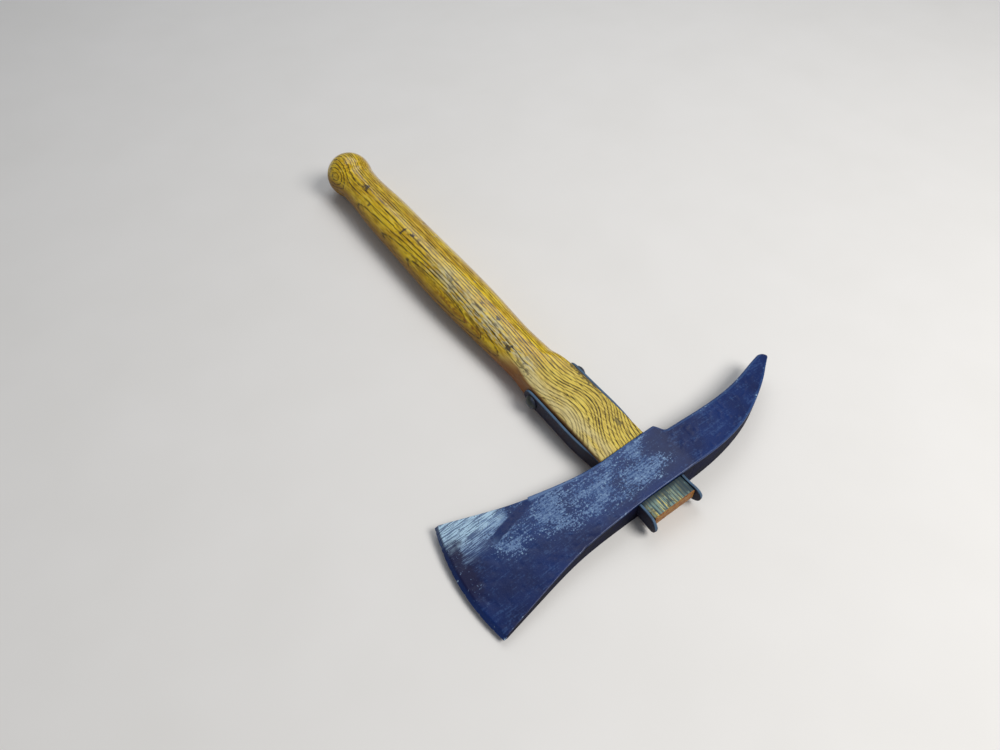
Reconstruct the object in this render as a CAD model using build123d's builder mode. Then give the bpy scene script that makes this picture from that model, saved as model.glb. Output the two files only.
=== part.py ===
"""Fireman's hand axe: forged pick head on an ash haft, held by two riveted straps.

The axe is drawn in its own frame: the eye's centre is the origin, +X points to the
cutting edge, +Y runs up the haft and out of the crown, and Z = 0 is the plane that
halves the head.  The finished pieces are then laid down together in the pose in which
the axe rests on a flat surface, with the origin under the middle of its box.
"""

import os

from build123d import *

os.makedirs("parts", exist_ok=True)

# ---- driving dimensions, in millimetres ------------------------------------------------

# Head, seen from above: corners of the blade, the eye and the pick.
HEEL = (117.0, -44.4)
EDGE_MIDDLE = (125.0, -7.0)
TOE = (122.6, 30.3)
HEEL_STEP = (64.4, -25.4)
STEP_DROP = 0.8
CROWN_Y = 16.8
CROWN_FRONT = 34.0
CROWN_BACK = -30.0
MOUTH_Y = -18.0
MOUTH_FRONT = 24.0
LIP = (-24.6, -17.4)
NOTCH = (-35.0, -10.7)
PICK_ROOT = (-44.0, -10.6)
TIP_CROWN = (-124.6, -15.6)
TIP_END = (-126.3, -19.4)
TIP_HAFT = (-121.8, -20.6)

# Points that the curves between those corners pass through.
BLADE_CROWN_CURVE = ((92.0, 24.0), (62.0, 18.6))
PICK_CROWN_CURVE = ((-67.0, 13.0), (-96.0, 2.2))
PICK_HAFT_CURVE = ((-99.0, -15.1), (-75.0, -11.3))
NOTCH_CURVE = (-27.2, -12.4)
MOUTH_CURVE = (45.0, -21.3)
HEEL_CURVE = (92.7, -34.9)

# Head, seen from its crown: half the thickness at each station along X.
RIDGE_X, RIDGE_HALF = -25.0, 11.0
CHEEK_X, CHEEK_HALF = 44.0, 7.6
BLADE_END_X, BLADE_END_HALF = 128.0, 1.5
TIP_HALF = 2.4
BEVEL_RUN, BEVEL_DEPTH = 2.4, 1.5

# Eye and the tongue of the haft that fills it.
EYE_HALF_X = 17.6
EYE_HALF_Z = 6.7
TONGUE_HALF_X = 15.3
TONGUE_HALF_Z = 6.2
TONGUE_END = 28.0
TONGUE_BREAK = 4.0

# Haft: stations up to the shoulder, as (y, centre x, half width, half thickness).
KNOB_Y = -354.6
KNOB_RADIUS = 18.3
GRIP_STATIONS = [
    (-346.0, 0.0, 16.4, 14.0),
    (-331.0, 0.2, 15.9, 13.4),
    (-305.0, 0.6, 17.0, 13.2),
    (-262.0, 1.2, 18.0, 13.5),
    (-205.0, 1.8, 19.0, 13.6),
    (-162.0, 1.6, 18.2, 12.8),
    (-124.0, 1.4, 16.6, 11.8),
    (-104.0, 0.6, 16.9, 11.0),
]
SHOULDER_HALF_X = 17.2
SHOULDER_HALF_Z = 9.2
FLAT_START_Y = -84.0
THROAT_CORNER = 4.8
FLAT_CORNER = 1.6

# Straps: flat bars along the haft's edges, let in where they enter the eye.
STRAP_THICK = 2.2
STRAP_WIDTH = 13.0
STRAP_START = -89.5
STRAP_END = 32.0
STRAP_BEND_START = -38.0
STRAP_EYE_START = -19.5
STRAP_EYE_END = 20.0
STRAP_FLARE = 1.3
STRAP_BEND_RADIUS = 14.0

# Rivet through both straps and the haft.
RIVET_Y = -81.0
RIVET_RADIUS = 2.5
RIVET_HEAD_RADIUS = 5.0
RIVET_HEAD_HEIGHT = 3.6

# Rounds in which the resting pose settles.
POSE_ROUNDS = 4


# ---- straps ----------------------------------------------------------------------------

def make_strap(side: int) -> BuildPart:
    """Flat bar bent into the eye; side is +1 next to the blade and -1 next to the pick."""
    low_x = SHOULDER_HALF_X + STRAP_THICK / 2
    eye_x = TONGUE_HALF_X + STRAP_THICK / 2
    with BuildPart() as strap:
        with BuildSketch(Plane.XY):
            with BuildLine():
                FilletPolyline(
                    (side * low_x, STRAP_START),
                    (side * low_x, STRAP_BEND_START),
                    (side * eye_x, STRAP_EYE_START),
                    (side * eye_x, STRAP_EYE_END),
                    (side * (eye_x + STRAP_FLARE), STRAP_END),
                    radius=STRAP_BEND_RADIUS,
                )
            trace(line_width=STRAP_THICK)
        extrude(amount=STRAP_WIDTH, both=True)
        # Round both ends: keep what lies inside a slot seen from the side.
        with BuildSketch(Plane.YZ):
            with Locations(((STRAP_START + STRAP_END) / 2, 0)):
                SlotOverall(STRAP_END - STRAP_START, STRAP_WIDTH)
        extrude(amount=2 * low_x, both=True, mode=Mode.INTERSECT)
        with Locations(Plane.YZ.offset(side * low_x)):
            with Locations((RIVET_Y, 0)):
                Hole(RIVET_RADIUS, depth=4 * STRAP_THICK)
    return strap


front_strap = make_strap(1)
rear_strap = make_strap(-1)


# ---- haft ------------------------------------------------------------------------------

with BuildPart() as haft:
    # Oval grip, thickest at mid length and narrow at the neck and the throat.
    for y, centre_x, half_x, half_z in GRIP_STATIONS:
        with BuildSketch(Plane.XZ.offset(-y)):
            with Locations((centre_x, 0)):
                Ellipse(half_x, half_z)
    loft()
    # From the last oval section to the flat-sided shoulder.
    throat_y, throat_x, throat_half_x, throat_half_z = GRIP_STATIONS[-1]
    with BuildSketch(Plane.XZ.offset(-throat_y)):
        with Locations((throat_x, 0)):
            Ellipse(throat_half_x, throat_half_z)
    with BuildSketch(Plane.XZ.offset(-FLAT_START_Y)):
        RectangleRounded(2 * SHOULDER_HALF_X, 2 * SHOULDER_HALF_Z, THROAT_CORNER)
    loft()
    with BuildSketch(Plane.XZ.offset(-FLAT_START_Y)):
        RectangleRounded(2 * SHOULDER_HALF_X, 2 * SHOULDER_HALF_Z, THROAT_CORNER)
    with BuildSketch(Plane.XZ.offset(-MOUTH_Y)):
        RectangleRounded(2 * SHOULDER_HALF_X, 2 * SHOULDER_HALF_Z, FLAT_CORNER)
    loft()
    with Locations((0, KNOB_Y, 0)):
        Sphere(KNOB_RADIUS)
    # Tongue through the eye, its lower end edge broken off at a slant.
    with BuildSketch(Plane.YZ):
        Polygon(
            (MOUTH_Y, -TONGUE_HALF_Z),
            (TONGUE_END - TONGUE_BREAK, -TONGUE_HALF_Z),
            (TONGUE_END, TONGUE_BREAK - TONGUE_HALF_Z),
            (TONGUE_END, TONGUE_HALF_Z),
            (MOUTH_Y, TONGUE_HALF_Z),
            align=None,
        )
    extrude(amount=TONGUE_HALF_X, both=True)
    # Shallow seats that let the straps in above the bends, and the rivet's hole.
    add(front_strap.part, mode=Mode.SUBTRACT)
    add(rear_strap.part, mode=Mode.SUBTRACT)
    with Locations(Plane.YZ):
        with Locations((RIVET_Y, 0)):
            Hole(RIVET_RADIUS, depth=2 * SHOULDER_HALF_X)


# ---- rivet -----------------------------------------------------------------------------

# Half of the rivet is turned about its own axis and mirrored: a shank and a domed head.
with BuildPart() as strap_rivet:
    seat_x = SHOULDER_HALF_X + STRAP_THICK
    dome_radius = (RIVET_HEAD_RADIUS**2 + RIVET_HEAD_HEIGHT**2) / (2 * RIVET_HEAD_HEIGHT)
    with BuildSketch(Plane((0, RIVET_Y, 0))):
        with BuildLine():
            Polyline(
                (0, 0),
                (0, RIVET_RADIUS),
                (seat_x, RIVET_RADIUS),
                (seat_x, RIVET_HEAD_RADIUS),
            )
            RadiusArc((seat_x, RIVET_HEAD_RADIUS), (seat_x + RIVET_HEAD_HEIGHT, 0), dome_radius)
            Line((seat_x + RIVET_HEAD_HEIGHT, 0), (0, 0))
        make_face()
    revolve(axis=Axis((0, RIVET_Y, 0), (1, 0, 0)))
    mirror(about=Plane.YZ)


# ---- head ------------------------------------------------------------------------------

# Small step where the cheek's haft side ends and the blade's begins.
step_foot = (HEEL_STEP[0], HEEL_STEP[1] - STEP_DROP)
step_head = (HEEL_STEP[0] + STEP_DROP, HEEL_STEP[1])

with BuildPart() as axe_head:
    with BuildSketch(Plane.XY.offset(-RIDGE_HALF)):
        with BuildLine():
            ThreePointArc(HEEL, EDGE_MIDDLE, TOE)
            Spline(TOE, *BLADE_CROWN_CURVE, (CROWN_FRONT, CROWN_Y), tangents=((-1, -0.2), (-1, 0)))
            Line((CROWN_FRONT, CROWN_Y), (CROWN_BACK, CROWN_Y))
            Spline(
                (CROWN_BACK, CROWN_Y),
                *PICK_CROWN_CURVE,
                TIP_CROWN,
                tangents=((-1, 0), (-0.8, -0.9)),
            )
            ThreePointArc(TIP_CROWN, TIP_END, TIP_HAFT)
            Spline(TIP_HAFT, *PICK_HAFT_CURVE, PICK_ROOT, tangents=((1, 0.2), (1, 0)))
            Line(PICK_ROOT, NOTCH)
            Spline(NOTCH, NOTCH_CURVE, LIP, tangents=((1, 0), (0.6, -1)))
            Line(LIP, (MOUTH_FRONT, MOUTH_Y))
            Spline((MOUTH_FRONT, MOUTH_Y), MOUTH_CURVE, step_foot, tangents=((1, -0.05), (1, -0.25)))
            Line(step_foot, step_head)
            Spline(step_head, HEEL_CURVE, HEEL, tangents=((1, -0.2), (1, -0.28)))
        make_face()
    extrude(amount=2 * RIDGE_HALF)
    # Cheeks: thickest at the back of the eye, tapering to the pick's tip and to the edge.
    with BuildSketch(Plane.XZ):
        Polygon(
            (TIP_END[0], -TIP_HALF),
            (RIDGE_X, -RIDGE_HALF),
            (CHEEK_X, -CHEEK_HALF),
            (BLADE_END_X, -BLADE_END_HALF),
            (BLADE_END_X, BLADE_END_HALF),
            (CHEEK_X, CHEEK_HALF),
            (RIDGE_X, RIDGE_HALF),
            (TIP_END[0], TIP_HALF),
            align=None,
        )
    extrude(amount=2 * abs(HEEL[1]), both=True, mode=Mode.INTERSECT)
    # Eye, a rectangular slot from the haft side to the crown.
    with BuildSketch(Plane.XZ):
        Rectangle(2 * EYE_HALF_X, 2 * EYE_HALF_Z)
    extrude(amount=2 * CROWN_Y, both=True, mode=Mode.SUBTRACT)
    # Ground bevel on both sides of the cutting edge.
    blade_end = axe_head.faces().sort_by(Axis.X)[-1]
    edge_arcs = blade_end.edges().sort_by(SortBy.LENGTH)[-2:]
    chamfer(edge_arcs, length=BEVEL_DEPTH, length2=BEVEL_RUN, reference=blade_end)


# ---- resting pose ----------------------------------------------------------------------

# The axe lies on its knob and on the crown-side corners of one cheek facet.
knob_centre = Vector(0, KNOB_Y, 0)
ridge_foot = Vector(RIDGE_X, CROWN_Y, -RIDGE_HALF)
cheek_foot = Vector(CHEEK_X, CROWN_Y, -CHEEK_HALF)
up = Vector(0, 0, 1)
for _ in range(POSE_ROUNDS):
    knob_foot = knob_centre - up * KNOB_RADIUS
    up = (cheek_foot - ridge_foot).cross(ridge_foot - knob_foot).normalized()
along_edge = (Vector(1, 0, 0) - up * up.X).normalized()
lay_down = Plane(ridge_foot, x_dir=along_edge, z_dir=up).location.inverse()

pieces = {
    "axe_head": axe_head,
    "haft": haft,
    "front_strap": front_strap,
    "rear_strap": rear_strap,
    "strap_rivet": strap_rivet,
}
box = Compound([piece.part.moved(lay_down) for piece in pieces.values()]).bounding_box()
middle = box.center()
in_place = Pos(-middle.X, -middle.Y, -box.min.Z) * lay_down
for name, piece in pieces.items():
    piece.part = piece.part.moved(in_place)
    piece.part.label = name
    export_step(piece.part, f"parts/{name}.step")
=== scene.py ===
"""Looks of a fireman's hand axe: a forged pick head on an ash haft with two riveted straps.

Every shape is worked out in the axe's own frame, in millimetres: the eye's centre is the
origin, +X points to the cutting edge, +Y runs up the haft and out of the crown, and Z = 0
halves the head.  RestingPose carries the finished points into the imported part's frame.
"""

import itertools
import logging
import math
from dataclasses import dataclass, field
from enum import Enum
from typing import Union

import bpy
import numpy as np
from mathutils import Matrix, Vector


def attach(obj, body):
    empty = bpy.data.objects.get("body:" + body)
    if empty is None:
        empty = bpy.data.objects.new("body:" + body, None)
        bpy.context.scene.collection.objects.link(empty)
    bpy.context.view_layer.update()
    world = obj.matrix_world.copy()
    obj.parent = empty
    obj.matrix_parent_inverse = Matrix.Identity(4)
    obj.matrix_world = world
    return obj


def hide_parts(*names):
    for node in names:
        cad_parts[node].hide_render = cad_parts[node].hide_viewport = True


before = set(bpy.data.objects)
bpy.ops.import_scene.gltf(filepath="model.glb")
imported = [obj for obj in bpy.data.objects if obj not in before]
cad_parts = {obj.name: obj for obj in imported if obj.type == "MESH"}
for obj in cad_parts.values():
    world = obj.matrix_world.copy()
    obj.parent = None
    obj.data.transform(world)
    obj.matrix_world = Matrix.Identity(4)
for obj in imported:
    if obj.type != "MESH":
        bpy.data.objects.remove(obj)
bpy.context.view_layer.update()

LOG = logging.getLogger("hand_axe")
BODY = "root"
MM = 0.001
Span = tuple[float, float]
Knots = tuple[Span, ...]
Triple = tuple[float, float, float]
Colour = Triple


# ---- numbers and noise ---------------------------------------------------------------

def smooth(value: np.ndarray, low: float, high: float) -> np.ndarray:
    """Smooth step: 0 below low, 1 above high and 3t^2 - 2t^3 between.

    Args:
        value: Where it is read.
        low: Where the rise starts.
        high: Where the rise ends; it may be below low, which turns the step round.

    Returns:
        The step's height at each value.
    """
    t = np.clip((value - low) / (high - low), 0.0, 1.0)
    return t * t * (3.0 - 2.0 * t)


def curve_through(knots: Knots, at: np.ndarray) -> np.ndarray:
    """Natural cubic through knots: each span is the cubic whose second derivative runs
    straight from one knot's to the next, and those solve the usual three-term equations.

    Args:
        knots: (place, value) pairs in rising order of place.
        at: Places where the curve is read.

    Returns:
        The curve's value at each place.
    """
    x, y = np.array(knots).T
    h, count = np.diff(x), len(x)
    i = np.arange(1, count - 1)
    terms, right = np.eye(count), np.zeros(count)
    terms[i, i - 1], terms[i, i], terms[i, i + 1] = h[i - 1], 2 * (h[i - 1] + h[i]), h[i]
    right[i] = 6 * ((y[i + 1] - y[i]) / h[i] - (y[i] - y[i - 1]) / h[i - 1])
    bend = np.linalg.solve(terms, right)
    k = np.clip(np.searchsorted(x, at) - 1, 0, count - 2)
    a, b = (x[k + 1] - at) / h[k], (at - x[k]) / h[k]
    return a * y[k] + b * y[k + 1] + ((a**3 - a) * bend[k] + (b**3 - b) * bend[k + 1]) * h[k] ** 2 / 6


def runs(*spans: tuple[float, float, float]) -> np.ndarray:
    """Stations along a line: each (start, end, step) span cut evenly, joined without repeats."""
    parts = [np.linspace(a, b, max(2, 1 + round(abs(b - a) / step))) for a, b, step in spans]
    return np.concatenate([parts[0]] + [part[1:] for part in parts[1:]])


def hump(points: np.ndarray, middle: float | Triple, reach: float | Triple) -> np.ndarray:
    """Round hump over the last axis: 1 at the middle, falling away over the reach."""
    return np.exp(-np.sum(((points - np.array(middle)) / np.array(reach)) ** 2, axis=-1))


class Grit:
    """Seeded value noise: random heights on a lattice, blended by smooth steps between."""

    CELLS = 32

    def __init__(self, seed: int) -> None:
        """Fills the lattice from the seed."""
        self.heights = np.random.default_rng(seed).random((self.CELLS,) * 3)

    def at(self, points: np.ndarray, size: float, stretch: Triple = (1.0, 1.0, 1.0)) -> np.ndarray:
        """Reads the noise.

        Args:
            points: Array of points, the last axis being X, Y, Z.
            size: Size of one cell, in millimetres.
            stretch: How much longer a cell is along each axis.

        Returns:
            Heights between 0 and 1, one for each point.
        """
        place = points / (size * np.array(stretch))
        cell = np.floor(place).astype(int)
        part = smooth(place - cell, 0.0, 1.0)
        total = np.zeros(points.shape[:-1])
        for corner in itertools.product((0, 1), repeat=3):
            weight = np.prod(np.where(corner, part, 1.0 - part), axis=-1)
            index = np.moveaxis((cell + corner) % self.CELLS, -1, 0)
            total += weight * self.heights[tuple(index)]
        return total


# ---- placing and meshing -------------------------------------------------------------

@dataclass(frozen=True)
class RestingPose:
    """How the axe lies: on its knob and on the crown-side corners of one cheek facet."""

    pitch: float = -1.32175
    roll: float = 2.81949
    turn: float = 0.065028
    eye_centre: Triple = (0.510, 170.406, 10.145)

    def rotation(self) -> Matrix:
        """Puts the turn about Z first, then the roll about Y, then the pitch about X.

        Returns:
            The three together, as a 3 x 3 matrix.
        """
        spin = Matrix.Rotation(math.radians(self.pitch), 3, "X")
        spin = spin @ Matrix.Rotation(math.radians(self.roll), 3, "Y")
        return spin @ Matrix.Rotation(math.radians(self.turn), 3, "Z")

    def place(self, points: np.ndarray) -> np.ndarray:
        """Turns points of the axe's frame, in millimetres, into the part's frame, in metres."""
        return (points @ np.array(self.rotation()).T + np.array(self.eye_centre)) * MM


POSE = RestingPose()


def link(name: str, data: bpy.types.ID) -> bpy.types.Object:
    """Makes an object and puts it in the scene.

    Args:
        name: The object's name.
        data: Its mesh, light or camera.

    Returns:
        The object, at the origin.
    """
    made = bpy.data.objects.new(name, data)
    bpy.context.scene.collection.objects.link(made)
    return made


@dataclass
class Skin:
    """The points, faces and point values of one closed surface."""

    points: list[np.ndarray] = field(default_factory=list)
    faces: list[list[int]] = field(default_factory=list)
    values: dict[str, list[np.ndarray]] = field(default_factory=dict)
    count: int = 0

    def add(self, points: np.ndarray, **values: np.ndarray | float) -> np.ndarray:
        """Adds a grid of points.

        Args:
            points: Points, with X, Y, Z on the last axis.
            **values: Named numbers carried by the points, one each or one for all.

        Returns:
            The points' numbers, in the grid's shape.
        """
        shape = points.shape[:-1]
        index = np.arange(self.count, self.count + math.prod(shape)).reshape(shape)
        self.points.append(points.reshape(-1, 3))
        for name, numbers in values.items():
            self.values.setdefault(name, []).append(np.broadcast_to(numbers, shape).ravel())
        self.count += index.size
        return index

    def weave(self, index: np.ndarray, closed: bool = False, keep: np.ndarray | None = None) -> None:
        """Joins a grid of points by quads; closed also joins the last column to the first.

        Args:
            index: Point numbers, rows by columns.
            closed: Whether each row is a ring.
            keep: Which quads are made, rows - 1 by columns (or columns - 1); all if left out.
        """
        beside = np.roll(index, -1, axis=1) if closed else index[:, 1:]
        here = index if closed else index[:, :-1]
        quads = np.stack([here[:-1], here[1:], beside[1:], beside[:-1]], axis=-1)
        if keep is not None:
            quads = quads[keep]
        self.faces += quads.reshape(-1, 4).tolist()

    def zip_ring(self, ring: np.ndarray, start: int, reverse: bool) -> None:
        """Closes a flat ring by joining each point to its mirror twin across the start point.

        Args:
            ring: The ring's point numbers; its length is even.
            start: Place in the ring of the point that is its own twin.
            reverse: Whether the faces are turned round.
        """
        step = np.arange(len(ring) // 2 + 1)
        one, two = np.roll(ring, -start)[step % len(ring)], np.roll(ring, -start)[-step % len(ring)]
        quads = np.stack([one[:-1], one[1:], two[1:], two[:-1]], axis=-1)
        quads = quads[:, ::-1] if reverse else quads
        self.faces += [list(dict.fromkeys(quad)) for quad in quads.tolist()]

    def fan(self, ring: np.ndarray, tip: int, reverse: bool) -> None:
        """Closes a ring with triangles to one tip point.

        Args:
            ring: The ring's point numbers.
            tip: The tip's point number.
            reverse: Whether the faces are turned round.
        """
        beside = np.roll(ring, -1)
        corners = [ring, beside, np.full_like(ring, tip)]
        corners = corners[::-1] if reverse else corners
        self.faces += np.stack(corners, axis=-1).tolist()

    def tube(self, points: np.ndarray, tips: np.ndarray, values: dict, tip_values: dict) -> None:
        """Joins rings of points into a tube and shuts both its ends with fans.

        Args:
            points: Rings by columns.
            tips: The tip beyond the first ring and the tip beyond the last.
            values: Named numbers carried by the rings' points.
            tip_values: The same for the tips.
        """
        index = self.add(points, **values)
        self.weave(index, closed=True)
        first, last = self.add(tips, **tip_values)
        self.fan(index[0], first, True)
        self.fan(index[-1], last, False)

    def piece(self, name: str, material: bpy.types.Material, crease: float) -> bpy.types.Object:
        """Makes the finished object, its place in its mesh and its faces outwards.

        Args:
            name: The piece's name.
            material: Its finish.
            crease: Angle in degrees above which an edge stays sharp.

        Returns:
            The object, at the origin.
        """
        points = np.concatenate(self.points)
        first = points[[face[:3] for face in self.faces]]
        last = points[[[face[0], *face[-2:]] for face in self.faces]]
        quad = np.array([len(face) == 4 for face in self.faces])
        corners = np.concatenate([first, last[quad]])
        volume = np.einsum("ij,ij->", corners[:, 0], np.cross(corners[:, 1], corners[:, 2]))
        faces = self.faces if volume > 0 else [face[::-1] for face in self.faces]
        mesh = bpy.data.meshes.new(name)
        mesh.from_pydata(POSE.place(points).tolist(), [], faces)
        mesh.shade_smooth()
        mesh.set_sharp_from_angle(angle=math.radians(crease))
        for label, numbers in self.values.items():
            attribute = mesh.attributes.new(label, "FLOAT", "POINT")
            attribute.data.foreach_set("value", np.concatenate(numbers).astype(np.float32))
        mesh.materials.append(material)
        return link(name, mesh)


# ---- shader writing ------------------------------------------------------------------

Input = Union["Shade", float, tuple]


class Shade:
    """A shader socket that can be added, taken away, multiplied and divided."""

    def __init__(self, recipe: "Recipe", socket: bpy.types.NodeSocket) -> None:
        """Keeps the socket and the recipe that new nodes go into."""
        self.recipe, self.socket = recipe, socket

    def _math(self, operation: str, one: Input, two: Input) -> "Shade":
        """Adds one Math node on two values."""
        return self.recipe.node("ShaderNodeMath", {"operation": operation}, {0: one, 1: two})

    def __add__(self, other: Input) -> "Shade":
        """self + other."""
        return self._math("ADD", self, other)

    def __sub__(self, other: Input) -> "Shade":
        """self - other."""
        return self._math("SUBTRACT", self, other)

    def __rsub__(self, other: Input) -> "Shade":
        """other - self."""
        return self._math("SUBTRACT", other, self)

    def __mul__(self, other: Input) -> "Shade":
        """self * other."""
        return self._math("MULTIPLY", self, other)

    def __truediv__(self, other: Input) -> "Shade":
        """self / other."""
        return self._math("DIVIDE", self, other)

    __radd__, __rmul__ = __add__, __mul__

    def size(self) -> "Shade":
        """The value without its sign."""
        return self._math("ABSOLUTE", self, 0.0)

    def cycle(self) -> "Shade":
        """The value's fraction above the next whole number down."""
        return self._math("FRACT", self, 0.0)

    def least(self, other: Input) -> "Shade":
        """The smaller of two values."""
        return self._math("MINIMUM", self, other)

    def most(self, other: Input) -> "Shade":
        """The larger of two values."""
        return self._math("MAXIMUM", self, other)

    def angle(self, other: Input) -> "Shade":
        """Angle from other towards self, in radians."""
        return self._math("ARCTAN2", self, other)

    def step(self, low: float, high: float) -> "Shade":
        """Smooth step.

        Args:
            low: Where the step is 0.
            high: Where the step is 1; it may be below low.

        Returns:
            The step's height at the value.
        """
        turned = low > high
        ends = {"From Min": min(low, high), "From Max": max(low, high),
                "To Min": float(turned), "To Max": float(not turned)}
        return self.recipe.node("ShaderNodeMapRange", {"interpolation_type": "SMOOTHSTEP"},
                                {"Value": self, **ends})

    def near(self, middle: float, reach: float) -> "Shade":
        """Soft bump: 1 at middle, falling to 0 at reach to either side."""
        return (self - middle).size().step(reach, 0.0)


@dataclass(frozen=True)
class Limit:
    """One limit of a zone, read along across * place + along * Y + ragged * noise.

    It is a soft step from low to high, or, as a ridge, a bump round low with the reach high.
    """

    across: float
    along: float
    low: float
    high: float
    ragged: float = 0.0
    ridge: bool = False


Zone = tuple[Limit, ...]


class Recipe:
    """One material being written: a node tree with the axe's own coordinates at hand."""

    def __init__(self, name: str) -> None:
        """Starts an empty material and reads each point's place in the axe's frame.

        Args:
            name: The material's name.
        """
        self.material = bpy.data.materials.new(name)
        self.material.use_nodes = True
        self.tree = self.material.node_tree
        self.tree.nodes.clear()
        coordinates = self.node("ShaderNodeTexCoord", {}, {}, "Object")
        own = {"Location": tuple(MM * v for v in POSE.eye_centre),
               "Rotation": tuple(POSE.rotation().to_euler("XYZ")), "Scale": (MM,) * 3}
        self.point = self.node("ShaderNodeMapping", {"vector_type": "TEXTURE"},
                               {"Vector": coordinates, **own})
        self.x, self.y, self.z = (self.node("ShaderNodeSeparateXYZ", {}, {0: self.point}, axis)
                                  for axis in "XYZ")

    def node(self, kind: str, settings: dict, values: dict, output: int | str = 0) -> Shade:
        """Adds one node.

        Args:
            kind: The node's type.
            settings: Its own settings, set first.
            values: Numbers, colours or links for its sockets, by name or number.
            output: Name or number of the socket that is wanted.

        Returns:
            The wanted output.
        """
        made = self.tree.nodes.new(kind)
        for name, setting in settings.items():
            setattr(made, name, setting)
        for key, value in values.items():
            socket = made.inputs[key]
            if isinstance(value, Shade):
                self.tree.links.new(value.socket, socket)
            elif socket.type == "RGBA":
                socket.default_value = (*value, 1.0)
            else:
                socket.default_value = value
        return Shade(self, made.outputs[output]) if made.outputs else None

    def value(self, name: str) -> Shade:
        """Reads a number carried by the mesh's points."""
        return self.node("ShaderNodeAttribute", {"attribute_name": name}, {}, "Fac")

    def grain(self, size: Triple | float, detail: float = 2.0, shift: float = 0.0,
              rough: float = 0.5) -> Shade:
        """Noise over the axe's frame.

        Args:
            size: Feature size in millimetres, one number or one for each axis.
            detail: Octaves of finer noise.
            shift: Offset, so that two patterns differ.
            rough: Strength of the finer noise.

        Returns:
            Noise between 0 and 1.
        """
        sizes = size if isinstance(size, tuple) else (size,) * 3
        place = self.node("ShaderNodeVectorMath", {"operation": "MULTIPLY_ADD"},
                          {0: self.point, 1: tuple(1.0 / s for s in sizes), 2: (shift, shift, shift)})
        return self.node("ShaderNodeTexNoise", {"noise_dimensions": "3D"},
                         {"Vector": place, "Scale": 1.0, "Detail": detail, "Roughness": rough}, "Fac")

    def mix(self, amount: Input, one: Input, two: Input) -> Shade:
        """Blends two colours by an amount."""
        return self.node("ShaderNodeMix", {"data_type": "RGBA"}, {0: amount, 6: one, 7: two}, 2)

    def coats(self, colour: Input, *coats: tuple[Input, Input]) -> Input:
        """Lays coats over a colour, one after the other.

        Args:
            colour: What is underneath.
            *coats: Each coat's cover, from 0 to 1, and its colour.

        Returns:
            The colour that is left on top.
        """
        for cover, coat in coats:
            colour = self.mix(cover, colour, coat)
        return colour

    def zone(self, limits: Zone, across: Shade, noise: Shade) -> Shade:
        """Where a zone lies: the product of its limits.

        Args:
            limits: The zone's limits.
            across: Place across the piece; Y is the place along it.
            noise: What makes the limits wander, about 0.

        Returns:
            1 inside the zone and 0 outside.
        """
        inside = 1.0
        for limit in limits:
            place = across * limit.across + self.y * limit.along + noise * limit.ragged
            read = place.near if limit.ridge else place.step
            inside = read(limit.low, limit.high) * inside
        return inside

    def finish(self, colour: Input, roughness: Input, height: Shade, depth: float,
               **fixed: Input) -> bpy.types.Material:
        """Ends the recipe with the surface shader.

        Args:
            colour: Base colour.
            roughness: Roughness.
            height: Relief from 0 to 1.
            depth: Height of the relief, in millimetres.
            **fixed: Other sockets of the surface shader, with spaces as underscores.

        Returns:
            The finished material.
        """
        normal = self.node("ShaderNodeBump", {}, {"Height": height, "Strength": 1.0, "Distance": depth * MM})
        values = {"Base Color": colour, "Roughness": roughness, "Normal": normal}
        values.update({name.replace("_", " "): value for name, value in fixed.items()})
        surface = self.node("ShaderNodeBsdfPrincipled", {}, values)
        self.node("ShaderNodeOutputMaterial", {}, {"Surface": surface})
        return self.material


def tone(red: int, green: int, blue: int) -> Colour:
    """A colour given in eight-bit display values, as linear light."""
    shares = (red / 255, green / 255, blue / 255)
    return tuple(c / 12.92 if c <= 0.04045 else ((c + 0.055) / 1.055) ** 2.4 for c in shares)


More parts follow.
